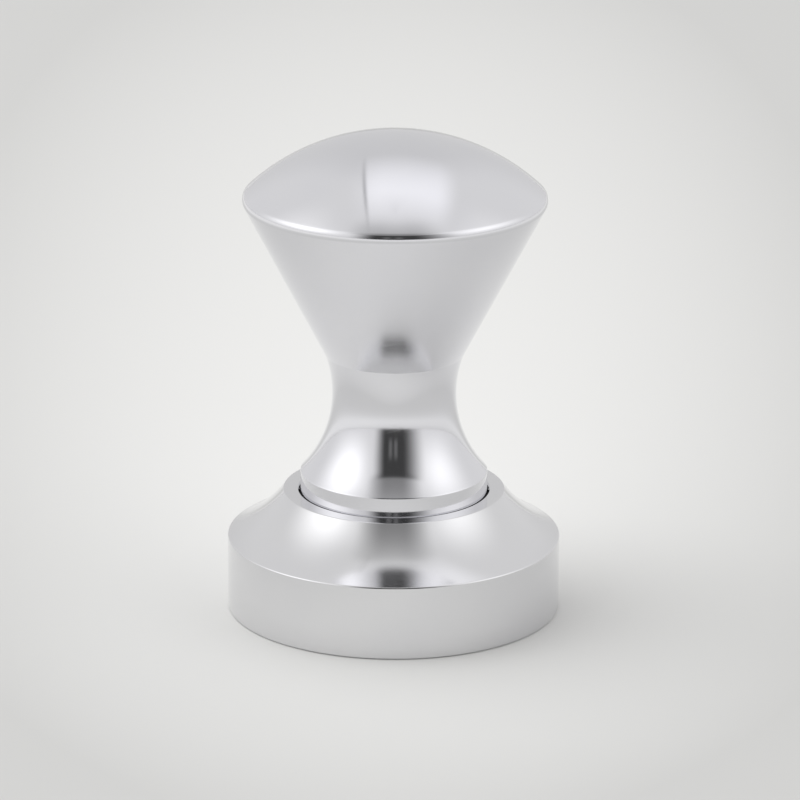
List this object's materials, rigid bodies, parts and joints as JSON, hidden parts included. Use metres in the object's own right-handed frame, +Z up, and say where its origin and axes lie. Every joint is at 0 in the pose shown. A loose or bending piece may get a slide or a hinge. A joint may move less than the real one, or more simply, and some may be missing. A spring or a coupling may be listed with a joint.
{
  "type": "espresso tamper",
  "caption": "Round metal espresso tamper whose turned hourglass handle presses down into a flared flat foot against a preloaded spring.",
  "frame": {"origin": "centre of the tamping face, which the tamper stands on", "axes": "+Z up along the axis of every turned piece, from the tamping face to the dome; the tamper is round, so +X and +Y are free"},
  "size_m": [0.058, 0.058, 0.0849],
  "materials": {
    "foot_steel": "fine-turned and polished stainless steel",
    "handle_aluminium": "fine-turned and polished",
    "ground_steel": "ground stainless steel",
    "spring_steel": "oiled music wire",
    "nut_brass": "turned",
    "white_acetal": "machined acetal",
    "dark_acetal": "machined acetal, black",
    "seal_rubber": "matte nitrile rubber"
  },
  "bodies": {
    "foot": {"foot": "foot_steel", "stem": "ground_steel", "stop_ring": "dark_acetal", "guide_ring": "dark_acetal"},
    "spring_carrier": {"spring_seat": "white_acetal", "main_spring": "spring_steel"},
    "handle": {"handle": "handle_aluminium", "retaining_nut": "nut_brass", "guide_bush": "white_acetal", "bumper_ring": "seal_rubber", "spring_cap": "ground_steel", "shim_thick": "ground_steel", "shim_thin": "ground_steel", "skirt_seal": "seal_rubber"}
  },
  "joints": [
    {"name": "handle_turn", "type": "hinge", "parent": "foot", "child": "spring_carrier", "pos_m": [0, 0, 0.0339], "axis": [0, 0, 1], "continuous": true},
    {"name": "handle_press", "type": "slide", "parent": "spring_carrier", "child": "handle", "axis": [0, 0, -1], "range_m": [0, 0.003], "stiffness_N_per_m": 6840, "springref_m": -0.0165, "deforming": ["main_spring"]}
  ]
}
